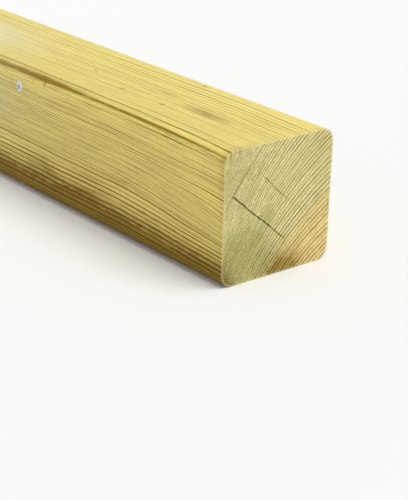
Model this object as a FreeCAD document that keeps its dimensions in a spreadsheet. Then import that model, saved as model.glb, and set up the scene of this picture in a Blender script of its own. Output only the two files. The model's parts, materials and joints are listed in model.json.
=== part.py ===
"""Square pine post, pressure treated and planed all round, with machined round arrises.

The post is one piece of timber. It lies on one of its four planed faces, with its length
along X. Both ends are plain square saw cuts, so only the four long arrises are rounded.
The origin is the middle of the face that the post lies on, and +Z is up. Millimetres.
"""

import FreeCAD, Part
import Sketcher
import os

PARTS_FOLDER = "parts"
POST_NAME = "post"

# The driving dimensions: alias, value and what it is.
DIMENSIONS = [
    ("stock_length", 1800.0, "length the post is sold in, between its two sawn ends"),
    ("section_width", 90.0, "planed width across the two side faces"),
    ("section_height", 90.0, "planed height from the face it lies on to the top face"),
    ("arris_radius", 9.0, "round run along each long arris by the planing cutters"),
]


def make_size_sheet(doc):
    """Puts each driving dimension in a spreadsheet row: its cell, its alias and its note."""
    sheet = doc.addObject("Spreadsheet::Sheet", "Sizes")
    for row, (alias, value, note) in enumerate(DIMENSIONS, start=1):
        sheet.set(f"A{row}", alias)
        sheet.set(f"B{row}", str(value))
        sheet.set(f"C{row}", note)
        sheet.setAlias(f"B{row}", alias)
    doc.recompute()
    return sheet


def origin_feature(body, role):
    """The body's own origin plane or axis that has this role."""
    return next(item for item in body.Origin.OriginFeatures if item.Role == role)


def draw_square_section(body, sheet):
    """Sketches the square section on the YZ plane: centred across, standing on the floor line."""
    sketch = body.newObject("Sketcher::SketchObject", "SquareSection")
    sketch.AttachmentSupport = (origin_feature(body, "YZ_Plane"), [""])
    sketch.MapMode = "FlatFace"

    width, height = sheet.section_width, sheet.section_height
    corners = [
        FreeCAD.Vector(-width / 2, 0, 0),
        FreeCAD.Vector(width / 2, 0, 0),
        FreeCAD.Vector(width / 2, height, 0),
        FreeCAD.Vector(-width / 2, height, 0),
    ]
    for start, end in zip(corners, corners[1:] + corners[:1]):
        sketch.addGeometry(Part.LineSegment(start, end), False)
    base, right, top, left = range(4)

    start_point, end_point, horizontal_axis, vertical_axis = 1, 2, -1, -2
    for side, next_side in ((base, right), (right, top), (top, left), (left, base)):
        sketch.addConstraint(
            Sketcher.Constraint("Coincident", side, end_point, next_side, start_point)
        )
    sketch.addConstraint(Sketcher.Constraint("Horizontal", top))
    sketch.addConstraint(Sketcher.Constraint("Vertical", right))
    sketch.addConstraint(Sketcher.Constraint("Vertical", left))
    sketch.addConstraint(
        Sketcher.Constraint("Symmetric", base, start_point, base, end_point, vertical_axis)
    )
    sketch.addConstraint(
        Sketcher.Constraint("PointOnObject", base, start_point, horizontal_axis)
    )
    width_constraint = sketch.addConstraint(
        Sketcher.Constraint("DistanceX", base, start_point, base, end_point, width)
    )
    height_constraint = sketch.addConstraint(
        Sketcher.Constraint("DistanceY", right, start_point, right, end_point, height)
    )
    sketch.renameConstraint(width_constraint, "Width")
    sketch.renameConstraint(height_constraint, "Height")
    sketch.setExpression("Constraints.Width", "Sizes.section_width")
    sketch.setExpression("Constraints.Height", "Sizes.section_height")
    return sketch


def saw_to_length(body, section):
    """Pads the section by half the stock length each way, so the ends are equal about the origin."""
    timber = body.newObject("PartDesign::Pad", "SawnLength")
    timber.Profile = section
    timber.SideType = "Symmetric"
    timber.setExpression("Length", "Sizes.stock_length")
    return timber


def long_edges(feature, length):
    """The names of the feature's edges that run along X for the whole length."""
    tolerance = 1e-6
    names = []
    for number, edge in enumerate(feature.Shape.Edges, start=1):
        if abs(edge.BoundBox.XLength - length) < tolerance:
            names.append(f"Edge{number}")
    return names


def round_arrises(body, timber, length):
    """Rounds the four long arrises. The sawn ends keep their sharp edges."""
    rounding = body.newObject("PartDesign::Fillet", "RoundArrises")
    edges = long_edges(timber, length)
    if len(edges) != 4:
        raise RuntimeError(f"expected 4 long arrises and found {len(edges)}")
    rounding.Base = (timber, edges)
    rounding.setExpression("Radius", "Sizes.arris_radius")
    return rounding


def make_post(doc, sheet):
    """One planed and rounded timber, as a body whose sizes are bound to the sheet."""
    body = doc.addObject("PartDesign::Body", "PostBody")
    body.Label = POST_NAME
    section = draw_square_section(body, sheet)
    timber = saw_to_length(body, section)
    doc.recompute()
    body.Tip = round_arrises(body, timber, sheet.stock_length)
    doc.recompute()
    return body


def check_document(doc, bodies):
    """Stops the build if any object failed, or a body's shape is missing, broken or not one solid."""
    for item in doc.Objects:
        if {"Invalid", "Error"} & set(item.State):
            raise RuntimeError(f"{item.Name} failed: {item.State}")
    for body in bodies:
        shape = body.Shape
        if shape.isNull() or not shape.isValid():
            raise RuntimeError(f"{body.Label} has no valid shape")
        if len(shape.Solids) != 1:
            raise RuntimeError(f"{body.Label} has {len(shape.Solids)} solids and should have 1")


def export(bodies):
    """Writes each body's shape to its own STEP file, named by its label."""
    os.makedirs(PARTS_FOLDER, exist_ok=True)
    for body in bodies:
        body.Shape.exportStep(os.path.join(PARTS_FOLDER, body.Label + ".step"))
        box = body.Shape.BoundBox
        print(
            f"{body.Label}: {box.XLength:.1f} x {box.YLength:.1f} x {box.ZLength:.1f} mm, "
            f"{body.Shape.Volume / 1e6:.4f} litres"
        )


def main():
    doc = FreeCAD.newDocument("TreatedPinePost")
    sheet = make_size_sheet(doc)
    bodies = [make_post(doc, sheet)]
    check_document(doc, bodies)
    export(bodies)


main()
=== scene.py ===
"""Looks of a square pine post, pressure treated and planed, around its fixed CAD frame.

The timber is one solid pattern. A formula gives, for any place in the post, how high the growth ring
through that place meets the -Y face. The mesh takes its raised latewood from that formula, and the
materials take their dark lines from the same one, so that lines run from a planed face round an
arris and on into the rings of a sawn end. Formulas are in millimetres, and meshes in metres.
"""

import json
import math
from collections import namedtuple

import bpy
import numpy as np
from mathutils import Matrix, Vector

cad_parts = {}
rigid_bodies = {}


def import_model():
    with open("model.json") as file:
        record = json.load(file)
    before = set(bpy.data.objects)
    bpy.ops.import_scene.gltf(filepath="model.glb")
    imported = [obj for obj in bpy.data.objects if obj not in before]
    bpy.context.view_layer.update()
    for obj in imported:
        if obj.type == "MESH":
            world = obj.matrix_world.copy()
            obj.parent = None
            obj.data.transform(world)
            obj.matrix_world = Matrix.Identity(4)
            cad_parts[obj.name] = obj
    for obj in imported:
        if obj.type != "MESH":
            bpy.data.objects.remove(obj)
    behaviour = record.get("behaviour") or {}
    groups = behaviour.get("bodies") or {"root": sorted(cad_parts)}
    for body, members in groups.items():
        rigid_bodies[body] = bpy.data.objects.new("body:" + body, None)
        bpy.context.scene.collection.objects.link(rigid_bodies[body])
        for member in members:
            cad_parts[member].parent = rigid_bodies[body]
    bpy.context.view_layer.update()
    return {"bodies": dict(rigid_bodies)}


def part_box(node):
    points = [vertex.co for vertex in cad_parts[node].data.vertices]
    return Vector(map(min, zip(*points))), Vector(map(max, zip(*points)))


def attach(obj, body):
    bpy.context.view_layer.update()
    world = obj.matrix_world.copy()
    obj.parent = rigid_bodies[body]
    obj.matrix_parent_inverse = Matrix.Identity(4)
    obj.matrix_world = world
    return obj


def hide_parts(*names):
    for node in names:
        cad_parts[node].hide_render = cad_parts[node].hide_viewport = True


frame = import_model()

BODY = next(iter(frame["bodies"]))
NODE = "post"

bl_info = {
    "name": "Treated pine post",
    "version": (1, 0, 0),
    "blender": (4, 5, 0),
    "location": "3D View > Sidebar > Post",
    "description": "Grain, sawn ends, end checks, frayed fibres and resin of a square pine post",
    "category": "Object",
}

MM = 1000.0
LOW, HIGH = (np.array(corner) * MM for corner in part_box(NODE))
NEAR_END = HIGH[0]
FAR_END = LOW[0]
HALF_SECTION = (HIGH[1] - LOW[1]) / 2.0
MID_HEIGHT = (HIGH[2] + LOW[2]) / 2.0


# ------------------------------------------------------------
# Numbers that answer the same way in numpy and in a node tree
# ------------------------------------------------------------


class Wire:
    """A value in a node tree. It adds, multiplies and so on like a number, by one Math node a step."""

    def __init__(self, socket):
        self.socket = socket
        self.tree = socket.id_data

    def math(self, operation, *others):
        node = self.tree.nodes.new("ShaderNodeMath")
        node.operation = operation
        for place, value in enumerate((self, *others)):
            feed(self.tree, node.inputs[place], value)
        return Wire(node.outputs[0])

    def __add__(self, other):
        return self.math("ADD", other)

    def __sub__(self, other):
        return self.math("SUBTRACT", other)

    def __mul__(self, other):
        return self.math("MULTIPLY", other)

    def __truediv__(self, other):
        return self.math("DIVIDE", other)

    def __rsub__(self, other):
        return self * -1.0 + other

    def __rtruediv__(self, other):
        return self.math("POWER", -1.0) * other

    __radd__ = __add__
    __rmul__ = __mul__


def feed(tree, socket, value):
    """Links a Wire to the socket, or sets the socket to a plain value."""
    if isinstance(value, Wire):
        tree.links.new(value.socket, socket)
    elif socket.type == "RGBA":
        socket.default_value = (*value, 1.0)
    else:
        socket.default_value = value


def either(operation, plain):
    """A function that adds a Math node to a Wire, and does the plain numpy sum on anything else."""

    def act(value, *others):
        return value.math(operation, *others) if isinstance(value, Wire) else plain(value, *others)

    return act


sine = either("SINE", np.sin)
root = either("SQRT", np.sqrt)
exponent = either("EXPONENT", np.exp)
size_of = either("ABSOLUTE", np.abs)
whole = either("FLOOR", np.floor)
larger = either("MAXIMUM", np.maximum)


def bell(value):
    """1 at zero, falling away as e to the minus value squared."""
    return exponent(value * value * -1.0)


def ramp(value, start, end, kind="LINEAR"):
    """0 up to start, 1 from end on, and a straight or an eased rise between."""
    if isinstance(value, Wire):
        node = value.tree.nodes.new("ShaderNodeMapRange")
        node.interpolation_type = kind
        for name, number in (("Value", value), ("From Min", start), ("From Max", end)):
            feed(value.tree, node.inputs[name], number)
        return Wire(node.outputs["Result"])
    rise = np.clip((value - start) / (end - start), 0.0, 1.0)
    return rise if kind == "LINEAR" else rise * rise * (3.0 - 2.0 * rise)


def ease(value, start, end):
    return ramp(value, start, end, "SMOOTHSTEP")


# ------------------------------------------------------------
# The tree that the post was sawn from
# ------------------------------------------------------------

# The rings meet a sawn end as arcs of one radius, stepped upwards. Their centres lie beyond the +Y side.
ARC_RADIUS = 202.0
ARC_CENTRE = 145.0
ARC_AT_FACE = math.sqrt(ARC_RADIUS**2 - (ARC_CENTRE + HALF_SECTION) ** 2)

# Growth from the heart outwards: the ring height at which each spell of growth ends, and its rings.
GROWTH_START = -126.0
GROWTH = (
    (-66.0, 18),
    (-30.0, 10),
    (-12.0, 6),
    (-2.0, 3),
    (11.0, 4),
    (38.0, 8),
    (56.0, 13),
    (75.0, 10),
    (160.0, 1),
)
HEARTWOOD_EDGE = -66.0

# The grain dips towards the near end, most of all at mid height by the -Y face, and waves on its way.
DIP_REACH = 115.0
DIP_EDGE, DIP_MIDDLE, RISE_INSIDE = 4.5, 7.0, 1.8
DIP_HEIGHT, DIP_SPREAD = 40.0, 15.0
# The y from which the two parts of the dip grow towards the -Y face.
MIDDLE_FROM, EDGE_FROM = -8.0, -20.0
# Each wave: its lift, and the lengths over which it turns by one radian along, across and up.
WAVES = ((1.0, 61.0, 150.0, 110.0), (0.35, 23.0, 110.0, 80.0), (0.10, 7.3, 70.0, 50.0))
WAVE_SHIFT = 1.7
# A swirl: its centre, its reach along, across and up, and how far it lifts the rings.
Swirl = namedtuple("Swirl", "centre reach lift")
SWIRLS = (
    Swirl((NEAR_END - 233.0, -HALF_SECTION, 56.0), (14.0, 9.0, 6.5), 1.5),
    Swirl((NEAR_END - 66.0, -6.0, 2.0 * MID_HEIGHT), (22.0, 7.0, 9.0), -1.4),
)

# Each ring darkens towards its latewood and stops short at its outer edge.
LATE_START, LATE_FULL, LATE_STOP = 0.50, 0.84, 0.95
RING_SHUFFLE = 0.618034
PALEST_RING = 0.28

# Fine lines between the rings of a planed face, which lie this far apart.
FINE_LINE_PITCH = 1.5


def patch(place, centre, reach):
    """1 in the middle of a soft oval patch, falling away to 0 about twice its reach out."""
    return bell(
        root(sum(((p - c) / r) * ((p - c) / r) for p, c, r in zip(place, centre, reach)))
    )


def dip_share(x):
    """0 until the grain starts to dip, and 1 at the near end, rising as the square of the way there."""
    near = ramp(x, NEAR_END - DIP_REACH, NEAR_END)
    return near * near


def grain_sway(x, y, z):
    """How far the ring through a place sits above its even height: a dip, waves and swirls, added up."""
    middle = bell((z - DIP_HEIGHT) / DIP_SPREAD) * ease(y, MIDDLE_FROM, -HALF_SECTION) * DIP_MIDDLE
    edge = ease(y, EDGE_FROM, -HALF_SECTION) * (DIP_EDGE + RISE_INSIDE) - RISE_INSIDE
    sway = dip_share(x) * (middle + edge)
    for number, (lift, along, across, up) in enumerate(WAVES):
        sway = sway + sine(x / along + y / across + z / up + WAVE_SHIFT * number) * lift
    for swirl in SWIRLS:
        sway = sway + patch((x, y, z), swirl.centre, swirl.reach) * swirl.lift
    return sway


def ring_height(x, y, z):
    """Height where the ring through a place meets the -Y face: z less its arc's rise, plus the sway."""
    across = ARC_CENTRE - y
    return z - root(ARC_RADIUS**2 - across * across) + ARC_AT_FACE + grain_sway(x, y, z)


def ring_count(height):
    """Rings grown up to a height. Each spell of growth adds its rings along a straight rise."""
    start, count = GROWTH_START, 0.0
    for end, rings in GROWTH:
        count = ramp(height, start, end) * rings + count
        start = end
    return count


def latewood(count):
    """0 in the pale wood, rising to each ring's own darkness, and back to 0 at its sharp outer edge."""
    ring = whole(count)
    part = count - ring
    shuffled = ring * RING_SHUFFLE
    darkness = (shuffled - whole(shuffled)) * (1.0 - PALEST_RING) + PALEST_RING
    rise = ease(part, LATE_START, LATE_FULL)
    return rise * (1.0 - ramp(part, LATE_STOP, 1.0)) * darkness


# Start and end are (y, z), gap and depth are at their widest, opening is the part of the length over
# which the gap opens, and wander is its sideways drift.
Check = namedtuple("Check", "start end gap depth opening wander")
CHECKS = (
    Check((-37.6, 59.6), (-13.6, 90.0), 0.32, 6.0, 0.01, 0.16),
    Check((-37.8, 59.9), (-43.4, 50.6), 0.20, 2.5, 0.01, 0.06),
    Check((-37.9, 60.0), (8.4, 21.2), 0.30, 6.0, 0.01, 0.18),
    Check((8.4, 21.2), (-1.0, 10.5), 0.14, 1.2, 0.05, 0.16),
    Check((-17.0, 72.0), (11.0, 45.8), 0.13, 2.0, 0.30, 0.15),
)
# The mesh is drawn together towards each check, so that its narrow gap is really cut.
PINCH, PINCH_REACH = 0.82, 1.7


def check_run(check, y, z):
    """Part of the way along a check, distance to its side without its drift, and its half gap there."""
    (y0, z0), (y1, z1) = check.start, check.end
    length = math.hypot(y1 - y0, z1 - z0)
    ahead = ((y1 - y0) / length, (z1 - z0) / length)
    part = ((y - y0) * ahead[0] + (z - z0) * ahead[1]) / length
    drift = sine(part * math.tau * length / 31.0) * check.wander
    drift = drift + sine(part * math.tau * length / 11.0 + 1.0) * (check.wander * 0.3)
    side = (z - z0) * ahead[0] - (y - y0) * ahead[1] - drift
    half = root(ramp(part, 1.0, 0.35)) * ramp(part, 0.0, check.opening) * (check.gap / 2.0)
    return part, side, half


# ------------------------------------------------------------
# Sizes and colours that a user would change
# ------------------------------------------------------------


def colour_property(name, description, default):
    return bpy.props.FloatVectorProperty(
        name=name, description=description, default=default, subtype="COLOR", size=3, min=0.0, max=1.0
    )


def length_property(name, description, default):
    return bpy.props.FloatProperty(
        name=name, description=description, default=default, unit="LENGTH", min=0.0, precision=5
    )


def angle_property(name, description, degrees):
    return bpy.props.FloatProperty(
        name=name, description=description, default=math.radians(degrees), subtype="ANGLE"
    )


def strength_property(name, description, default):
    return bpy.props.FloatProperty(name=name, description=description, default=default, min=0.0)


class TimberSettings(bpy.types.PropertyGroup):
    """Sizes and colours of the timber, with the colours that also paint shade and a rim highlight on it."""

    arris_radius: length_property("Arris radius", "Round run along each long arris", 0.009)
    rim_radius: length_property("Rim radius", "Wear round the edge of a sawn end", 0.0005)
    ring_relief: length_property("Ring relief", "How far early wood lies below the latewood", 0.00009)
    sawn_relief: length_property("Sawn relief", "How far early wood is torn back on a sawn end", 0.00016)
    side_cells: bpy.props.IntProperty(
        name="Cells to a side", description="Mesh cells across each side of the section", default=108, min=8
    )
    early: colour_property("Early wood", "Pale spring growth on a planed face", (0.76, 0.63, 0.185))
    late: colour_property("Latewood", "Share of the light that latewood keeps", (0.27, 0.19, 0.03))
    sawn_early: colour_property("Sawn early wood", "Pale growth on a sawn end", (0.76, 0.67, 0.31))
    sawn_late: colour_property("Sawn latewood", "Light that sawn latewood keeps", (0.20, 0.15, 0.05))
    copper: colour_property("Preservative", "Light kept where treatment shows green", (0.66, 0.69, 0.53))
    heart: colour_property("Heartwood", "Warm wood that the treatment hardly enters", (0.83, 0.62, 0.25))
    # The same colour darkens the painted shade low on the -Y face and on the near end.
    stain_and_shade: colour_property("Stain", "Share of the light kept by wet and rubbed places", (0.35, 0.26, 0.03))
    # This colour also paints a highlight along the rim of each sawn end.
    dust_and_rim_highlight: colour_property("Torn fibre", "Pale fibre rubbed up at the rim of a sawn end", (0.80, 0.74, 0.46))


class FibreSettings(bpy.types.PropertyGroup):
    """Sizes of the fibres that the saw left standing round a sawn end."""

    count: bpy.props.IntProperty(name="Fibres", description="Fibres round each end", default=190, min=1)
    longest: length_property("Longest", "Length of the longest fibre", 0.0015)
    thickest: length_property("Thickest", "Thickness of the thickest fibre at its root", 0.00032)


class ResinSettings(bpy.types.PropertyGroup):
    """Size and place of the dried resin bead."""

    from_end: length_property("From the near end", "Distance of the bead from the near end", 0.226)
    height: length_property("Height", "Height of the bead above the base face", 0.0765)
    length: length_property("Length", "Length of the bead up the face", 0.0078)
    width: length_property("Width", "Width of the bead along the face", 0.0068)
    rise: length_property("Rise", "How far the bead stands off the face", 0.0009)
    crust: colour_property("Crust", "Dry, pale resin", (0.86, 0.86, 0.84))
    middle: colour_property("Middle", "Grey, glassy middle of the bead", (0.34, 0.33, 0.30))


class StageSettings(bpy.types.PropertyGroup):
    """Camera, floor and light."""

    eye: bpy.props.FloatVectorProperty(
        name="Eye",
        description="Place of the camera, from the middle of the near end's bottom edge",
        default=(0.67467, -0.62214, 0.39023),
        subtype="TRANSLATION",
        unit="LENGTH",
    )
    azimuth: angle_property("Azimuth", "Turn of the camera round the post", 50.18)
    pitch: angle_property("Pitch", "How far the camera looks down", 22.28)
    roll: angle_property("Roll", "Tilt of the camera about its view", 1.56)
    lens: bpy.props.FloatProperty(
        name="Lens", description="Focal length on a 36 mm wide sensor", default=112.19, unit="CAMERA"
    )
    floor_radius: length_property("Floor radius", "Radius of the pale floor", 60.0)
    floor: colour_property("Floor", "Colour of the floor", (0.86, 0.86, 0.855))
    floor_glow: strength_property("Floor glow", "Light that the far floor adds for the camera only", 0.415)
    sky: strength_property("Sky", "Strength of the even light from all round", 0.55)
    softbox: bpy.props.FloatProperty(
        name="Softbox", description="Power of the softbox over the near end", default=95.0, min=0.0,
        unit="POWER",
    )


# ------------------------------------------------------------
# Node groups and materials
# ------------------------------------------------------------


def new_group(name, inputs, outputs):
    """An empty shader node group with these named sockets, and its two ends."""
    tree = bpy.data.node_groups.new(name, "ShaderNodeTree")
    for label, kind in inputs:
        tree.interface.new_socket(name=label, in_out="INPUT", socket_type=kind)
    for label in outputs:
        tree.interface.new_socket(name=label, in_out="OUTPUT", socket_type="NodeSocketFloat")
    return tree, tree.nodes.new("NodeGroupInput"), tree.nodes.new("NodeGroupOutput")


def give(tree, leave, **outputs):
    """Feeds the outputs of a group. Underscores stand for spaces."""
    for name, value in outputs.items():
        feed(tree, leave.inputs[name.replace("_", " ")], value)


def use_group(tree, group, **inputs):
    """Places a group in a tree, feeds its inputs, and gives its outputs. Underscores stand for spaces."""
    node = tree.nodes.new("ShaderNodeGroup")
    node.node_tree = group
    for name, value in inputs.items():
        feed(tree, node.inputs[name.replace("_", " ")], value)
    return {socket.name: Wire(socket) for socket in node.outputs}


def split_place(tree, position):
    """The three parts of a position in metres, in millimetres."""
    node = tree.nodes.new("ShaderNodeSeparateXYZ")
    feed(tree, node.inputs[0], position)
    return [Wire(socket) * MM for socket in node.outputs]


def noise(x, y, z, detail=2.0, roughness=0.5):
    """Cloudy noise from 0 to 1 at a place given by three Wires."""
    tree = x.tree
    joined = tree.nodes.new("ShaderNodeCombineXYZ")
    for socket, value in zip(joined.inputs, (x, y, z)):
        feed(tree, socket, value)
    node = tree.nodes.new("ShaderNodeTexNoise")
    node.inputs["Scale"].default_value = 1.0
    node.inputs["Detail"].default_value = detail
    node.inputs["Roughness"].default_value = roughness
    tree.links.new(joined.outputs[0], node.inputs["Vector"])
    return Wire(node.outputs["Fac"])


def blend(factor, first, second, kind="MIX"):
    """Colour from first to second by factor."""
    tree = factor.tree
    node = tree.nodes.new("ShaderNodeMix")
    node.data_type = "RGBA"
    node.blend_type = kind
    feed(tree, node.inputs["Factor"], factor)
    for socket, value in ((node.inputs[6], first), (node.inputs[7], second)):
        feed(tree, socket, value)
    return Wire(node.outputs[2])


def shade(colour, light):
    """The colour made lighter or darker by a factor that changes over the surface."""
    node = light.tree.nodes.new("ShaderNodeVectorMath")
    node.operation = "SCALE"
    feed(light.tree, node.inputs[0], colour)
    feed(light.tree, node.inputs["Scale"], light)
    return Wire(node.outputs[0])


def growth_rings():
    """Group: the solid pattern of growth rings, with a fine waver so that no line looks ruled."""
    tree, entry, leave = new_group(
        "growth_rings",
        [("Position", "NodeSocketVector"), ("Waver", "NodeSocketFloat")],
        ["Latewood", "Ring Height", "Ring Part", "Sway"],
    )
    x, y, z = split_place(tree, Wire(entry.outputs["Position"]))
    waver = (noise(x / 80.0, y / 5.0, z / 5.0, 3.0) - 0.5) * Wire(entry.outputs["Waver"])
    height = ring_height(x, y, z) + waver
    count = ring_count(height)
    # A line fades and deepens along its length.
    swell = noise(x / 70.0, y / 9.0, z / 5.0, 2.0) * 1.1 + 0.45
    give(tree, leave, Latewood=latewood(count) * swell, Ring_Height=height)
    give(tree, leave, Ring_Part=count - whole(count), Sway=grain_sway(x, y, z) + waver)
    return tree


def wood_fibres():
    """Group: fibre streaks that follow the rings, rays across them, and fine specks, all about 0.5."""
    tree, entry, leave = new_group(
        "wood_fibres",
        [("Position", "NodeSocketVector"), ("Ring Height", "NodeSocketFloat")],
        ["Streaks", "Fine Streaks", "Rays", "Specks"],
    )
    x, y, z = split_place(tree, Wire(entry.outputs["Position"]))
    height = Wire(entry.outputs["Ring Height"])
    along_ring = y * 0.66 + z * 0.75
    give(tree, leave, Streaks=noise(x / 90.0, height / 0.75, along_ring / 16.0, 2.0, 0.55))
    give(tree, leave, Fine_Streaks=noise(x / 22.0, height / 0.50, along_ring / 3.2, 2.0, 0.6))
    give(tree, leave, Rays=noise(x / 30.0, height / 13.0, along_ring / 0.42, 2.0, 0.6))
    give(tree, leave, Specks=noise(x / 1.6, y / 0.55, z / 0.55, 2.0, 0.7))
    return tree


# Dark patches: place along from the near end, y, z, reach along, across and up, and strength. Most are
# stains and marks on the wood; some rows are painted shade.
DarkPatch = namedtuple("DarkPatch", "from_end y z reach strength")
TOP = 2.0 * MID_HEIGHT
DARK_PATCHES = [DarkPatch(*row) for row in (
    (66, -5, TOP, (21, 4.5, 6), 0.62),
    (118, 4, TOP, (13, 2.2, 6), 0.40),
    (30, 14, TOP, (16, 2.5, 6), 0.25),
    (500, -36.9, TOP, (800, 0.55, 4), 1.6),
    (62, -29.6, TOP, (75, 0.40, 4), 1.1),
    (198, -43, 88.2, (36, 4, 1.5), 1.2),
    (310, -43.5, 87.2, (110, 5, 2), 0.95),
    (500, -42.2, 87.7, (800, 2.2, 0.8), 0.75),
    (60, -42.2, 87.9, (70, 2.2, 0.8), 0.9),
    (40, -44.5, 84.6, (80, 3, 0.6), 1),
    (116, 34, TOP, (2.2, 1.3, 3), 0.8),
    (190, -4.5, TOP, (3, 1, 3), 0.7),
    (144, -15.5, TOP, (2.4, 1.2, 3), 0.8),
    (100, -15.5, TOP, (2, 1.3, 3), 0.9),
    (196, -45, 26, (16, 6, 7), 0.34),
    (150, -45, 19, (34, 6, 7), 0.40),
    (140, -45, 33, (22, 6, 3), 0.22),
    # Painted shade, partly brown stain, along the foot of the -Y face.
    (600, -44, 4.5, (1500, 9, 15), 1.6),
    # Painted shade, partly brown stain, at the bottom of the near end.
    (0, 6, 2, (6, 15, 10), 1.5),
    (0, -36, 2, (6, 12, 4), 0.35),
    # Painted shade at the top left of the near end.
    (0, -40, 80, (6, 22, 34), 0.34),
    (0, 34, 84, (6, 16, 22), 0.20),
    (195.5, -45, 85.5, (0.7, 4, 2.4), 1),
)]


def treatment_tint():
    """Group: where the preservative shows green, where the wood is stained and where shade is painted on it,
    where it is heartwood, and where chalky.
    """
    tree, entry, leave = new_group(
        "treatment_tint",
        [("Position", "NodeSocketVector"), ("Ring Height", "NodeSocketFloat")],
        ["Green", "Stain", "Heartwood", "Patchy", "Chalk"],
    )
    x, y, z = split_place(tree, Wire(entry.outputs["Position"]))
    height = Wire(entry.outputs["Ring Height"])
    broken = noise(x / 11.0, y / 2.6, z / 2.6, 4.0, 0.65)
    cloud = noise(x / 95.0, y / 24.0, z / 24.0, 2.0)
    # Patches on the faces, stains and painted shade alike, run with the grain: their places sink with it
    # towards the near end.
    sunk = dip_share(x) * DIP_EDGE
    swayed = (x, y + sunk * 0.75, z + sunk * 0.45)
    stain_and_shade = 0.0
    for dark_patch in DARK_PATCHES:
        place = swayed if dark_patch.from_end > 0.0 else (x, y, z)
        centre = (NEAR_END - dark_patch.from_end, dark_patch.y, dark_patch.z)
        stain_and_shade = patch(place, centre, dark_patch.reach) * dark_patch.strength + stain_and_shade
    damp = patch((x, y, z), (NEAR_END, -22.0, 14.0), (60.0, 27.0, 25.0))
    give(tree, leave, Green=ease(damp * 0.66 + cloud * 0.9 + broken * 0.3, 0.52, 1.25))
    give(tree, leave, Stain=ramp(stain_and_shade * (broken * 1.7 + 0.15), 0.05, 1.0))
    sapwood = ease(height + broken * 6.0, HEARTWOOD_EDGE - 8.0, HEARTWOOD_EDGE + 18.0)
    chalk = patch((x, y, z), (NEAR_END - 330.0, -8.0, TOP), (60.0, 26.0, 9.0))
    chalk = chalk + patch((x, y, z), (NEAR_END - 290.0, -HALF_SECTION, 62.0), (66.0, 9.0, 22.0)) * 0.6
    give(tree, leave, Heartwood=1.0 - sapwood, Patchy=cloud, Chalk=chalk)
    return tree


def shared_group(name, make):
    """The node group of that name, made the first time it is wanted."""
    return bpy.data.node_groups.get(name) or make()


def new_material(name, roughness):
    """An empty node material with one Principled shader of this roughness."""
    material = bpy.data.materials.new(name)
    material.use_nodes = True
    tree = material.node_tree
    shader = tree.nodes["Principled BSDF"]
    shader.inputs["Roughness"].default_value = roughness
    shader.inputs["Specular IOR Level"].default_value = 0.2
    return material, tree, shader


def object_position(tree):
    return Wire(tree.nodes.new("ShaderNodeTexCoord").outputs["Object"])


def own_value(tree, name):
    """A value that the mesh carries for each of its points."""
    node = tree.nodes.new("ShaderNodeAttribute")
    node.attribute_name = name
    return Wire(node.outputs["Fac"])


def bump(tree, shader, height, depth):
    """Feeds the shader's normal from a height of 0 to 1, in units of depth metres."""
    node = tree.nodes.new("ShaderNodeBump")
    node.inputs["Distance"].default_value = depth
    feed(tree, node.inputs["Height"], height)
    tree.links.new(node.outputs["Normal"], shader.inputs["Normal"])


def wood_patterns(tree, waver):
    """The three solid patterns of the wood at the object's own coordinates, in one dictionary."""
    position = object_position(tree)
    rings = use_group(tree, shared_group("growth_rings", growth_rings), Position=position, Waver=waver)
    height = rings["Ring Height"]
    fibres = use_group(
        tree, shared_group("wood_fibres", wood_fibres), Position=position, Ring_Height=height
    )
    tint = use_group(
        tree, shared_group("treatment_tint", treatment_tint), Position=position, Ring_Height=height
    )
    return {**rings, **fibres, **tint, "Position": position}


# How bright the two kinds of wood are before streaks and specks, and the depth in metres of their bumps.
PLANED_LIGHT, SAWN_LIGHT = 1.21, 1.03
WOOD_BUMP = 0.0003
# Painted shade inside a check, near black, which shows this far in from the near end.
CHECK_PAINTED_SHADE, CHECK_DARK_TO = (0.035, 0.024, 0.010), 10.0


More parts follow.
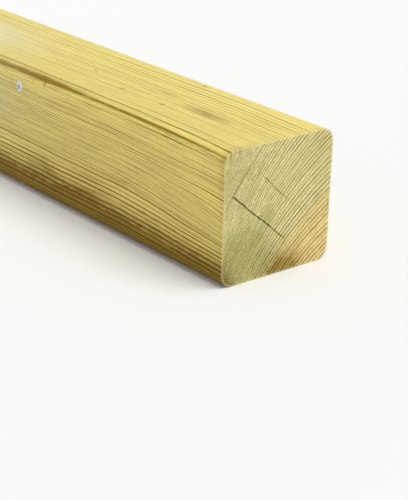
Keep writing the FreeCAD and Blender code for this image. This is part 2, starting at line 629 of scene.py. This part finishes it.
def planed_pine(timber):
    """Planed faces: sharp dark latewood, streaks along the grain, brown smudges, painted shade at the foot
    of the -Y face, and painted light on the top.
    """
    material, tree, shader = new_material("planed_pine", 0.58)
    wood = wood_patterns(tree, 0.8)
    # Painted light on the top face, by how much a face looks up: it fades the lines and darkens the tone a
    # little.
    top_painted_light = own_value(tree, "top_painted_light")
    height = wood["Ring Height"]
    # Fine lines lie side by side all round the section, and bend with the grain.
    x, y, _ = split_place(tree, wood["Position"])
    way = ramp(y, -HALF_SECTION, -0.8 * HALF_SECTION) * 2.0 - 1.0
    across_grain = own_value(tree, "girth") + wood["Sway"] * way
    crowding = noise(x / 200.0, across_grain / 7.0, 0.0, 1.0) * 3.0
    fading = ramp(noise(x / 45.0, across_grain / 2.2, 0.0, 2.0), 0.30, 0.62)
    hair = latewood(across_grain / FINE_LINE_PITCH + crowding) * fading
    fine = hair * 0.85
    # The widest rings, low on the -Y face, have the darkest lines.
    wide = ease(height, 46.0, 36.0) * ease(height, -14.0, -4.0) * 0.80 + 0.60
    lines = ramp((wood["Latewood"] * wide + fine) * (1.0 - top_painted_light * 0.50), 0.0, 1.0)
    colour = blend(wood["Green"] * 0.35, timber.early, timber.copper, "MULTIPLY")
    colour = blend(wood["Heartwood"] * 0.20, colour, timber.heart)
    colour = blend(lines, colour, timber.late, "MULTIPLY")
    # Stains, and painted shade, partly brown, along the foot of the -Y face.
    colour = blend(wood["Stain"], colour, timber.stain_and_shade, "MULTIPLY")
    streaks = hair * -0.10 + (wood["Fine Streaks"] - 0.5) * 0.80
    light = streaks + (wood["Specks"] - 0.5) * 0.40 + (wood["Patchy"] - 0.5) * 0.22
    # Painted light on the top: smaller streaks and a slightly darker tone.
    light = light * (1.0 - top_painted_light * 0.35) + top_painted_light * -0.10 + PLANED_LIGHT
    colour = shade(colour, light)
    # Paler near the rim, partly torn fibre and partly a painted highlight, and on chalky patches.
    colour = blend(larger(own_value(tree, "rim") * 0.25, wood["Chalk"] * 0.7), colour, timber.dust_and_rim_highlight)
    feed(tree, shader.inputs["Base Color"], colour)
    roughness = wood["Latewood"] * -0.14 + wood["Fine Streaks"] * 0.2 + 0.5
    feed(tree, shader.inputs["Roughness"], ramp(roughness, 0.0, 1.0))
    raised = wood["Latewood"] * 0.6 + wood["Fine Streaks"] * 0.4 + hair * 0.5
    bump(tree, shader, raised, WOOD_BUMP)
    return material


def open_checks(tree, y, z):
    """1 inside the gap of any check, 0 outside, from the same runs that the mesh is cut to."""
    inside = 0.0
    for check in CHECKS:
        part, side, half = check_run(check, y, z)
        gap = ramp(size_of(side) - half, 0.07, -0.05) * ramp(half, 0.0, 0.05)
        inside = larger(gap * ramp(part, 0.0, 0.004), inside)
    return inside


def sawn_pine(timber):
    """Sawn ends: dry grey-green early wood, thin ring lines, rays, checks painted dark with shade, painted
    shade at the bottom and at the top left, and torn fibre with a painted highlight at the rim.
    """
    material, tree, shader = new_material("sawn_pine", 0.82)
    wood = wood_patterns(tree, 0.55)
    x, y, z = split_place(tree, wood["Position"])
    # The outer rings hardly show on the saw cut.
    clear = ease(wood["Ring Height"], 52.0, 8.0) * 0.85 + 0.15
    lines = ramp(wood["Latewood"] * ease(wood["Ring Part"], 0.68, 0.88), 0.10, 0.62) * clear
    lines = ramp(lines + ramp(wood["Streaks"], 0.51, 0.63) * 0.34, 0.0, 1.0)
    colour = blend(wood["Green"], timber.sawn_early, timber.copper, "MULTIPLY")
    colour = blend(wood["Heartwood"] * 0.75, colour, timber.heart)
    colour = blend(lines, colour, timber.sawn_late, "MULTIPLY")
    # Stains, and painted shade at the bottom and top left of the near end.
    colour = blend(wood["Stain"] * 0.8, colour, timber.stain_and_shade, "MULTIPLY")
    light = (wood["Fine Streaks"] - 0.5) * 0.80 + (wood["Rays"] - 0.5) * 0.50
    light = light + (wood["Specks"] - 0.5) * 2.50 + (wood["Patchy"] - 0.5) * 0.12 + SAWN_LIGHT
    colour = shade(colour, light)
    # Paler near the rim, partly torn fibre and partly a painted highlight.
    colour = blend(own_value(tree, "rim") * 0.40, colour, timber.dust_and_rim_highlight)
    # The gaps of the checks are painted near black, as the shade inside them.
    checks = open_checks(tree, y, z) * ramp(x, NEAR_END - CHECK_DARK_TO - 2.0, NEAR_END - CHECK_DARK_TO)
    colour = blend(checks * 0.88, colour, CHECK_PAINTED_SHADE)
    feed(tree, shader.inputs["Base Color"], colour)
    height = wood["Latewood"] * 0.45 + wood["Specks"] * 0.7 + wood["Rays"] * 0.35 + wood["Streaks"] * 0.3
    bump(tree, shader, height, WOOD_BUMP)
    return material


def torn_fibre(timber):
    """Loose fibres: mottled from the sawn early wood colour to the pale torn fibre colour."""
    material, tree, shader = new_material("torn_fibre", 0.85)
    x, y, z = split_place(tree, object_position(tree))
    mottle = noise(x / 0.8, y / 0.8, z / 0.8, 2.0)
    colour = blend(mottle, timber.sawn_early, timber.dust_and_rim_highlight)
    feed(tree, shader.inputs["Base Color"], colour)
    return material


def dried_resin(resin):
    """Resin bead: a chalky crust with cracks, and a grey glassy middle."""
    material, tree, shader = new_material("dried_resin", 0.45)
    x, y, z = split_place(tree, object_position(tree))
    grains = noise(x / 0.5, y / 0.5, z / 0.5, 3.0, 0.7)
    middle = (NEAR_END - resin.from_end * MM + 0.2, -HALF_SECTION, resin.height * MM - 0.3)
    glassy = patch((x, y, z), middle, (0.9, 6.0, 2.2))
    colour = blend(ease(glassy + grains * 0.5, 0.55, 0.95), resin.crust, resin.middle)
    feed(tree, shader.inputs["Base Color"], shade(colour, grains * 1.6 + 0.2))
    feed(tree, shader.inputs["Roughness"], ramp(grains, -0.2, 1.6))
    bump(tree, shader, grains, 0.0004)
    return material


# ------------------------------------------------------------
# Surfaces
# ------------------------------------------------------------


def new_piece(name, points, faces, materials, smooth_below=None):
    """A mesh object at the origin, from points in millimetres and faces as lists of point numbers."""
    mesh = bpy.data.meshes.new(name)
    mesh.from_pydata((points / MM).tolist(), [], faces)
    for material in materials:
        mesh.materials.append(material)
    mesh.polygons.foreach_set("use_smooth", np.full(len(mesh.polygons), smooth_below is not None))
    if smooth_below is not None:
        mesh.set_sharp_from_angle(angle=smooth_below)
    mesh.update()
    piece = bpy.data.objects.new(name, mesh)
    bpy.context.scene.collection.objects.link(piece)
    return piece


def add_to_post(piece):
    """The piece moves with the post's body."""
    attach(piece, BODY)


def section_outline(half, arris, cells):
    """Places (y, z) round the section, from its middle, and outward directions, anticlockwise from +X.

    One side runs from the middle of one round arris to the middle of the next: an arc, a straight and an
    arc. Its heading turns by arc length over radius, on the arcs only. The other three sides are that
    side after quarter turns.
    """
    eighth = arris * math.pi / 4.0
    flat = 2.0 * (half - arris)
    run = np.arange(cells) / cells * (flat + 2.0 * eighth)
    turned = np.minimum(run, eighth) + np.clip(run - eighth - flat, 0.0, eighth)
    heading = math.radians(225.0) + turned / arris
    outward = np.stack([np.cos(heading), np.sin(heading)], axis=1)
    along = np.clip(run - eighth, 0.0, flat) - half + arris
    middle = np.stack([along, np.full(cells, arris - half)], axis=1)
    side = middle + outward * arris
    turns = [np.linalg.matrix_power(np.array([[0, 1], [-1, 0]]), number) for number in range(4)]
    places = np.concatenate([side @ turn for turn in turns])
    return places, np.concatenate([outward @ turn for turn in turns])


def row_places(start, end):
    """Places of the rows, from the far rim to the near one: close by the ends and where the grain dips."""
    near = np.concatenate([np.geomspace(0.5, 3.4, 8), np.full(20, 3.4), np.full(45, 7.0)])
    far = np.geomspace(0.5, 14.0, 10)
    plain = np.full(70, (end - start - near.sum() - far.sum()) / 70)
    return start + np.concatenate([[0.0], np.cumsum(np.concatenate([far, plain, near[::-1]]))])


def meshed_latewood(x, y, z):
    """Latewood over a mesh grid, fading to 0 where a ring would be under two cells wide."""
    count = ring_count(ring_height(x, y, z))
    steps = [np.abs(np.gradient(count, axis=axis)) for axis in (0, 1)]
    return latewood(count) * (1.0 - ramp(np.maximum(*steps), 0.22, 0.48))


def rough_rim(columns, seed):
    """A jitter from 0 to 1 round a rim: seeded random numbers, partly smoothed with their neighbours."""
    raw = np.random.default_rng(seed).random(columns)
    return raw * 0.45 + (np.roll(raw, 1) + np.roll(raw, -1) + np.roll(raw, 2)) / 3.0 * 0.55


def rim_rows(places, outward, end, facing, radius, jitter, steps):
    """Rows round a worn rim: a quarter circle from planed face to sawn end, uneven by the jitter."""
    rows = []
    reach = radius * (0.55 + 0.9 * jitter)
    for angle in np.linspace(0.0, math.pi / 2.0, steps):
        inset = reach * (1.0 - math.cos(angle))
        x = end - facing * (reach * (1.0 - math.sin(angle)) + 0.10 * jitter)
        flat = places - outward * inset[:, None]
        rows.append(np.column_stack([x, flat[:, 0], flat[:, 1] + MID_HEIGHT]))
    return rows


def planed_rows(places, outward, rows, timber):
    """Rows of the planed skin: the outline carried along the post, lowered where the wood is early wood."""
    x = np.repeat(rows[:, None], len(places), axis=1)
    y = np.repeat(places[None, :, 0], len(rows), axis=0)
    z = np.repeat(places[None, :, 1] + MID_HEIGHT, len(rows), axis=0)
    sunk = timber.ring_relief * MM * (1.0 - meshed_latewood(x, y, z))
    return np.stack([x, y - outward[:, 0] * sunk, z - outward[:, 1] * sunk], axis=-1)


def pinch_to_checks(y, z):
    """Draws places on the near end towards each check, by a bell across it and an ease at its ends."""
    for check in CHECKS:
        part, side, _ = check_run(check, y, z)
        length = math.dist(check.start, check.end)
        ahead = (np.subtract(check.end, check.start)) / length
        hold = ease(part, -0.06, 0.02) * (1.0 - ease(part, 0.98, 1.06))
        pull = side * bell(side / PINCH_REACH) * hold * PINCH
        y = y + ahead[1] * pull
        z = z - ahead[0] * pull
    return y, z


def check_depth(y, z):
    """How deep the near end is cut at a place: by its deepest check, steep-sided and narrow at the foot."""
    depth = np.zeros_like(y)
    for check in CHECKS:
        part, side, half = check_run(check, y, z)
        wall = ramp(np.abs(side) / np.maximum(half, 0.12), 1.0, 0.25)
        open_part = ramp(half, 0.02, check.gap / 2.0) * ((part > 0.0) & (part < 1.0))
        depth = np.maximum(depth, check.depth * wall * open_part)
    return depth


def end_places(outline, cells):
    """Grid of places (y, z) over a sawn end, from its middle.

    Each place lies on a scaled copy of the outline. Near the middle the copies are squares, and outwards
    they grow into the rounded outline with the fourth power of their scale.
    """
    u, v = np.meshgrid(np.linspace(-1, 1, cells + 1), np.linspace(-1, 1, cells + 1), indexing="ij")
    scale = np.maximum(np.abs(u), np.abs(v))
    safe = np.where(scale == 0.0, 1.0, scale)
    square = np.stack([u / safe, v / safe])
    on_side = [v == -scale, u == scale, v == scale, u == -scale]
    way = [1.0 + square[0], 1.0 + square[1], 1.0 - square[0], 1.0 - square[1]]
    round_way = np.select(on_side, [number + part / 2.0 for number, part in enumerate(way)])
    columns = np.arange(4 * cells + 1) / cells
    closed = np.concatenate([outline, outline[:1]])
    rounded = np.stack([np.interp(round_way, columns, closed[:, axis]) for axis in (0, 1)])
    grown = scale**4
    half = np.abs(outline).max()
    return (square * half * (1.0 - grown) + rounded * grown) * scale, scale


def rim_columns(cells):
    """Column number of the skin that each border place of an end grid shares, and -1 inside."""
    numbers = np.full((cells + 1, cells + 1), -1)
    step = np.arange(cells)
    numbers[step, 0] = step
    numbers[cells, step] = cells + step
    numbers[cells - step, cells] = 2 * cells + step
    numbers[0, cells - step] = 3 * cells + step
    return numbers


def quads(a, b, c, d):
    return np.stack([a, b, c, d], axis=-1).reshape(-1, 4)


def grid_quads(numbers):
    """Quads of a grid of point numbers, turned from its first axis to its second."""
    return quads(numbers[:-1, :-1], numbers[1:, :-1], numbers[1:, 1:], numbers[:-1, 1:])


# Where the map for baked colours puts the skin and the two ends. The skin's seam is under the base face.
SKIN_MAP = (0.002, 0.690)
END_MAP_SIZE = 0.290
END_MAPS = {1: (0.02, 0.703), -1: (0.36, 0.703)}


# Rows round a worn rim, the seeds of its jitter, and how far a saw cut lies inside the CAD end.
RIM_ROWS = 4
RIM_SEEDS = ((1, 5), (-1, 11))
SAW_CUT_INSET = 0.06


def end_of(facing):
    return NEAR_END if facing > 0 else FAR_END


def sawn_end(timber, edge, facing):
    """Grid of points over a sawn end, with the checks cut in the near one, its flat places and its scale."""
    flat, scale = end_places(edge[:, 1:] - (0.0, MID_HEIGHT), timber.side_cells)
    y, z = flat[0], flat[1] + MID_HEIGHT
    inner = ease(1.0 - scale, 0.0, 0.03)
    cut = np.zeros_like(y)
    if facing > 0:
        pinched = pinch_to_checks(y, z)
        y = y + (pinched[0] - y) * inner
        z = z + (pinched[1] - z) * inner
        cut = check_depth(y, z)
    late = meshed_latewood(np.full_like(y, end_of(facing)), y, z)
    torn = timber.sawn_relief * MM * (1.0 - late) * inner + SAW_CUT_INSET
    return np.stack([end_of(facing) - facing * (torn + cut), y, z], axis=-1), flat, scale


def timber_surface(timber):
    """Points, quads and map corners of the whole closed post, and the values that its points carry."""
    cells = timber.side_cells
    columns = 4 * cells
    arris = timber.arris_radius * MM
    places, outward = section_outline(HALF_SECTION, arris, cells)
    radius = timber.rim_radius * MM
    # The planed rows end where the worn rims begin.
    wear = radius * 1.8
    skin = planed_rows(places, outward, row_places(FAR_END + wear, NEAR_END - wear), timber)
    rims = {}
    for facing, seed in RIM_SEEDS:
        jitter = rough_rim(columns, seed)
        rims[facing] = rim_rows(places, outward, end_of(facing), facing, radius, jitter, RIM_ROWS)
    far_rim = np.stack(rims[-1][::-1])
    near_rim = np.stack(rims[1])
    rows = np.concatenate([far_rim, skin, near_rim])
    numbers = np.arange(rows.shape[0] * columns).reshape(rows.shape[0], columns)
    points = [rows.reshape(-1, 3)]
    closed = np.concatenate([numbers, numbers[:, :1]], axis=1)
    faces = [quads(closed[:-1, :-1], closed[:-1, 1:], closed[1:, 1:], closed[1:, :-1])]
    # Nearness to a sawn end: torn fibre and a painted highlight along the rim.
    distance = np.minimum(NEAR_END - rows[..., 0], rows[..., 0] - FAR_END)
    rim = [bell(distance / 0.6).reshape(-1)]
    # How much each point faces up, which paints light on the top face.
    facing_up = np.broadcast_to(ease(outward[:, 1], 0.35, 0.95), rows.shape[:2])
    top_painted_light = [facing_up.reshape(-1)]
    perimeter = 8.0 * (HALF_SECTION - arris) + math.tau * arris
    girth = [np.tile(round_share(columns) * perimeter, rows.shape[0])]
    maps = [skin_map(rows, columns)]
    total = numbers.size
    border = rim_columns(cells)
    inside = border < 0
    for facing in (1, -1):
        last = -1 if facing > 0 else 0
        grid_points, flat, scale = sawn_end(timber, rows[last], facing)
        own = np.cumsum(inside).reshape(border.shape) - 1 + total
        grid = np.where(inside, own, numbers[last][border])
        points.append(grid_points[inside])
        total += inside.sum()
        end_faces = grid_quads(grid)
        faces.append(end_faces if facing > 0 else end_faces[:, ::-1])
        rim.append(bell((1.0 - scale) * HALF_SECTION / 0.5)[inside])
        top_painted_light.append(np.zeros(inside.sum()))
        girth.append(np.zeros(inside.sum()))
        maps.append(end_map(flat, facing))
    carried = {"rim": rim, "top_painted_light": top_painted_light, "girth": girth}
    carried = {name: np.concatenate(parts) for name, parts in carried.items()}
    return np.concatenate(points), faces, maps, carried


def round_share(columns):
    """Part of the way round the section of each column, from 0 at the middle of the base face."""
    return (np.arange(columns) + columns // 8 * 7) % columns / columns


def skin_map(rows, columns):
    """Map corners of the skin: once round the section across the map, and the post's length up it."""
    across = round_share(columns)[None, :]
    up = SKIN_MAP[0] + (rows[..., 0] - FAR_END) / (NEAR_END - FAR_END) * (SKIN_MAP[1] - SKIN_MAP[0])
    up = np.concatenate([up, up[:, :1]], axis=1)
    left = np.broadcast_to(across, (rows.shape[0] - 1, columns))
    right = left + 1.0 / columns
    corners = ((left, up[:-1, :-1]), (right, up[:-1, 1:]), (right, up[1:, 1:]), (left, up[1:, :-1]))
    return np.stack([np.stack(corner, axis=-1) for corner in corners], axis=2).reshape(-1, 4, 2)


def end_map(flat, facing):
    """Map corners of a sawn end: its places, scaled into its own square."""
    corner = np.array(END_MAPS[facing])
    spot = corner + (np.moveaxis(flat, 0, -1) / HALF_SECTION + 1.0) / 2.0 * END_MAP_SIZE
    corners = (spot[:-1, :-1], spot[1:, :-1], spot[1:, 1:], spot[:-1, 1:])
    found = np.stack(corners, axis=2).reshape(-1, 4, 2)
    return found if facing > 0 else found[:, ::-1]


def fibre_surface(fibres, places, outward, end, facing, seed):
    """Points and faces of the fibres round one end: three-sided needles, bent once, that end in a point.

    A needle has three points at its root, three at its bend and one at its tip. Its line leaves the rim
    along the post and leans outwards or inwards, by seeded random shares.
    """
    draw = np.random.default_rng(seed)
    count = fibres.count
    column = draw.integers(0, len(places), count)
    length = fibres.longest * MM * draw.random(count) ** 1.8 + 0.25
    thick = fibres.thickest * MM * (0.35 + 0.65 * draw.random(count))
    out = np.column_stack([np.zeros(count), outward[column]])
    tangent = np.column_stack([np.zeros(count), -outward[column, 1], outward[column, 0]])
    ahead = np.tile([float(facing), 0.0, 0.0], (count, 1))
    lean = (ahead * draw.uniform(0.15, 0.9, (count, 1)) + out * draw.uniform(0.1, 0.8, (count, 1))
            + tangent * draw.uniform(-0.5, 0.5, (count, 1)))
    lean /= np.linalg.norm(lean, axis=1, keepdims=True)
    bow = tangent * draw.uniform(-0.3, 0.3, (count, 1)) - out * draw.uniform(0.0, 0.3, (count, 1))
    foot = np.full(count, end - facing * 0.35)
    start = np.column_stack([foot, places[column, 0], places[column, 1] + MID_HEIGHT]) - out * 0.22
    across = np.cross(lean, tangent)
    across /= np.linalg.norm(across, axis=1, keepdims=True)
    other = np.cross(across, lean)
    angles = np.arange(3) * math.tau / 3.0
    cosines, sines = (turn(angles)[None, :, None] for turn in (np.cos, np.sin))
    spread = across[:, None, :] * cosines + other[:, None, :] * sines
    lower = start[:, None, :] + spread * (thick / 2.0)[:, None, None]
    knee = start + lean * (length * 0.55 + 0.3)[:, None]
    upper = knee[:, None, :] + spread * (thick * 0.34)[:, None, None]
    tip = (knee + (lean + bow) * (length * 0.45)[:, None])[:, None, :]
    points = np.concatenate([lower, upper, tip], axis=1).reshape(-1, 3)
    points[:, 2] = np.maximum(points[:, 2], LOW[2] + 0.02)
    shape = ((0, 1, 2), (3, 4, 1, 0), (4, 5, 2, 1), (5, 3, 0, 2), (6, 4, 3), (6, 5, 4), (6, 3, 5))
    faces = [tuple(7 * number + corner for corner in face) for number in range(count) for face in shape]
    return points, faces


def resin_surface(resin):
    """Points and faces of the bead: a low lumpy dome over an oval, closed by a flat back in the timber.

    Its rise falls as the square root of one less the radius squared, times lumps made of sine waves.
    """
    rings, spokes = 20, 44
    radius = np.linspace(0.0, 1.0, rings + 1)[1:, None]
    angle = np.arange(spokes)[None, :] * math.tau / spokes
    uneven = 1.0 + 0.10 * np.sin(3.0 * angle + 0.6) + 0.06 * np.sin(7.0 * angle + 2.0)
    lumps = 1.0 + 0.22 * np.sin(9.0 * radius + 3.0 * angle) * np.sin(5.0 * angle - 7.0 * radius)
    rise = np.sqrt(1.0 - radius**2 * 0.999) * lumps * resin.rise * MM
    middle = (NEAR_END - resin.from_end * MM, resin.height * MM)
    x = middle[0] + radius * np.cos(angle) * uneven * resin.width * MM / 2.0
    z = middle[1] + radius * np.sin(angle) * uneven * resin.length * MM / 2.0
    y = -HALF_SECTION - rise + 0.05
    dome = np.stack([x, y, z], axis=-1).reshape(-1, 3)
    back = dome[-spokes:] + (0.0, 0.35, 0.0)
    peak = np.array([[middle[0], -HALF_SECTION - resin.rise * MM, middle[1]]])
    heel = np.array([[middle[0], back[0, 1], middle[1]]])
    numbers = np.arange((rings + 1) * spokes).reshape(rings + 1, spokes)
    closed = np.concatenate([numbers, numbers[:, :1]], axis=1)
    faces = quads(closed[:-1, :-1], closed[1:, :-1], closed[1:, 1:], closed[:-1, 1:]).tolist()
    peak_number = numbers.size
    first, last = closed[0], closed[-1]
    faces += [(peak_number, first[spoke], first[spoke + 1]) for spoke in range(spokes)]
    faces += [(peak_number + 1, last[spoke + 1], last[spoke]) for spoke in range(spokes)]
    return np.concatenate([dome, back, peak, heel]), faces


# ------------------------------------------------------------
# Operators
# ------------------------------------------------------------


class POST_OT_timber(bpy.types.Operator):
    """Makes the timber: planed skin, worn rims and sawn ends, as one mesh in place of the plain post"""

    bl_idname = "post.timber"
    bl_label = "Timber"

    def execute(self, context):
        timber = context.scene.post_timber
        points, faces, maps, carried = timber_surface(timber)
        materials = [planed_pine(timber), sawn_pine(timber)]
        all_faces = np.concatenate(faces).tolist()
        piece = new_piece("post_timber", points, all_faces, materials, math.radians(40.0))
        mesh = piece.data
        sawn = np.concatenate([np.full(len(part), number > 0) for number, part in enumerate(faces)])
        mesh.polygons.foreach_set("material_index", sawn.astype(np.int32))
        for name, values in carried.items():
            mesh.attributes.new(name, "FLOAT", "POINT").data.foreach_set("value", values.astype(np.float32))
        layer = mesh.uv_layers.new(name="OFBake")
        layer.data.foreach_set("uv", np.concatenate(maps).astype(np.float32).reshape(-1))
        mesh.update()
        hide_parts(NODE)
        add_to_post(piece)
        return {"FINISHED"}


class POST_OT_fibres(bpy.types.Operator):
    """Makes the short fibres that the saw left standing round both sawn ends"""

    bl_idname = "post.fibres"
    bl_label = "Torn fibres"

    def execute(self, context):
        timber = context.scene.post_timber
        fibres = context.scene.post_fibres
        places, outward = section_outline(HALF_SECTION, timber.arris_radius * MM, timber.side_cells)
        material = torn_fibre(timber)
        for name, end, facing, seed in (("near", NEAR_END, 1, 21), ("far", FAR_END, -1, 22)):
            points, faces = fibre_surface(fibres, places, outward, end, facing, seed)
            add_to_post(new_piece(f"torn_fibres_{name}_end", points, faces, [material]))
        return {"FINISHED"}


class POST_OT_resin(bpy.types.Operator):
    """Makes the bead of dried resin on the -Y face"""

    bl_idname = "post.resin"
    bl_label = "Resin bead"

    def execute(self, context):
        resin = context.scene.post_resin
        points, faces = resin_surface(resin)
        add_to_post(new_piece("resin_bead", points, faces, [dried_resin(resin)], math.radians(60.0)))
        return {"FINISHED"}


def seen_or_mirrored(tree):
    """1 for camera, glossy and transmission rays, which should find white all round, and 0 for the rest."""
    path = tree.nodes.new("ShaderNodeLightPath")
    seen = Wire(path.outputs["Is Camera Ray"])
    seen = larger(seen, Wire(path.outputs["Is Glossy Ray"]))
    return larger(seen, Wire(path.outputs["Is Transmission Ray"]))


def white_world(stage):
    """Even light at the sky strength, which the camera and reflections see as plain white."""
    world = bpy.data.worlds.new("studio")
    world.use_nodes = True
    tree = world.node_tree
    glow = tree.nodes["Background"]
    glow.inputs["Color"].default_value = (1.0, 1.0, 1.0, 1.0)
    feed(tree, glow.inputs["Strength"], seen_or_mirrored(tree) * (1.0 - stage.sky) + stage.sky)
    bpy.context.scene.world = world


# Place of the softbox, and the brightness that it gives the floor right below it.
SOFTBOX = (NEAR_END / MM + 1.45, 0.6, 3.3)
SOFTBOX_SHARE = 0.60


# Corners of the round floor, and how far it lies below the post.
FLOOR_CORNERS, FLOOR_DROP = 96, 0.05


def pale_floor(stage):
    """Matt pale floor that keeps shadows.

    For the camera it adds light of its own: most far off, and less where the softbox lights it anyway. That
    share is the square of height squared over height squared plus distance squared.
    """
    material, tree, shader = new_material("pale_floor", 0.9)
    shader.inputs["Base Color"].default_value = (*stage.floor, 1.0)
    shader.inputs["Specular IOR Level"].default_value = 0.0
    shader.inputs["Emission Color"].default_value = (1.0, 1.0, 1.0, 1.0)
    x, y, _ = split_place(tree, object_position(tree))
    aside = (x / MM - SOFTBOX[0], y / MM - SOFTBOX[1])
    high = SOFTBOX[2] * SOFTBOX[2]
    lit = (aside[0] * aside[0] + aside[1] * aside[1] + high) / high
    glow = larger(stage.floor_glow - (1.0 / (lit * lit)) * SOFTBOX_SHARE, 0.0)
    feed(tree, shader.inputs["Emission Strength"], seen_or_mirrored(tree) * glow)
    return material


def softbox(name, place, target, across, power):
    """A square area light at a place, turned towards a target."""
    lamp = bpy.data.lights.new(name, "AREA")
    lamp.shape = "SQUARE"
    lamp.size = across
    lamp.energy = power
    light = bpy.data.objects.new(name, lamp)
    light.location = place
    light.rotation_euler = (Vector(target) - Vector(place)).to_track_quat("-Z", "Y").to_euler()
    bpy.context.scene.collection.objects.link(light)


def view_camera(stage):
    """The camera: its axes come from azimuth, pitch and roll, and its place from the near end."""
    turn, fall, roll = stage.azimuth, stage.pitch, stage.roll
    back = Vector((math.sin(turn) * math.cos(fall), -math.cos(turn) * math.cos(fall), math.sin(fall)))
    level = (-back).cross(Vector((0.0, 0.0, 1.0))).normalized()
    upright = level.cross(-back)
    right = level * math.cos(roll) + upright * math.sin(roll)
    up = upright * math.cos(roll) - level * math.sin(roll)
    axes = Matrix((right, up, back)).transposed()
    camera = bpy.data.objects.new("camera", bpy.data.cameras.new("camera"))
    camera.data.lens = stage.lens
    camera.data.sensor_width = 36.0
    camera.data.clip_end = 200.0
    near_end = Vector((NEAR_END / MM, 0.0, LOW[2] / MM))
    camera.matrix_world = Matrix.Translation(near_end + Vector(stage.eye)) @ axes.to_4x4()
    bpy.context.scene.collection.objects.link(camera)
    bpy.context.scene.camera = camera


class POST_OT_stage(bpy.types.Operator):
    """Makes the camera, the pale floor, the softbox and the white surroundings"""

    bl_idname = "post.stage"
    bl_label = "Stage"

    def execute(self, context):
        stage = context.scene.post_stage
        view_camera(stage)
        white_world(stage)
        angle = np.arange(FLOOR_CORNERS) * math.tau / FLOOR_CORNERS
        rim = np.column_stack([np.cos(angle), np.sin(angle), np.zeros(FLOOR_CORNERS)])
        rim = rim * stage.floor_radius * MM
        rim[:, 2] = LOW[2] - FLOOR_DROP
        new_piece("floor", rim, [list(range(FLOOR_CORNERS))], [pale_floor(stage)])
        target = (NEAR_END / MM - 0.2, 0.0, 0.0)
        softbox("softbox", SOFTBOX, target, 2.8, stage.softbox)
        context.scene.view_settings.view_transform = "Standard"
        return {"FINISHED"}


class VIEW3D_PT_post(bpy.types.Panel):
    """Lists the post's sizes, colours and makers"""

    bl_idname = "VIEW3D_PT_post"
    bl_label = "Treated pine post"
    bl_space_type = "VIEW_3D"
    bl_region_type = "UI"
    bl_category = "Post"

    def draw(self, context):
        for operator, holder, _ in STEPS:
            box = self.layout.box()
            settings = getattr(context.scene, holder)
            for name in settings.__annotations__:
                box.prop(settings, name)
            box.operator(operator)


STEPS = (
    ("post.timber", "post_timber", TimberSettings),
    ("post.fibres", "post_fibres", FibreSettings),
    ("post.resin", "post_resin", ResinSettings),
    ("post.stage", "post_stage", StageSettings),
)
HOLDERS = {holder: kind for _, holder, kind in STEPS}
MAKERS = (POST_OT_timber, POST_OT_fibres, POST_OT_resin, POST_OT_stage, VIEW3D_PT_post)


def register():
    for kind in (*HOLDERS.values(), *MAKERS):
        bpy.utils.register_class(kind)
    for holder, kind in HOLDERS.items():
        setattr(bpy.types.Scene, holder, bpy.props.PointerProperty(type=kind))


def unregister():
    for holder in HOLDERS:
        delattr(bpy.types.Scene, holder)
    for kind in reversed((*HOLDERS.values(), *MAKERS)):
        bpy.utils.unregister_class(kind)


def main():
    register()
    bpy.ops.post.timber()
    bpy.ops.post.fibres()
    bpy.ops.post.resin()
    bpy.ops.post.stage()


if __name__ == "__main__":
    main()
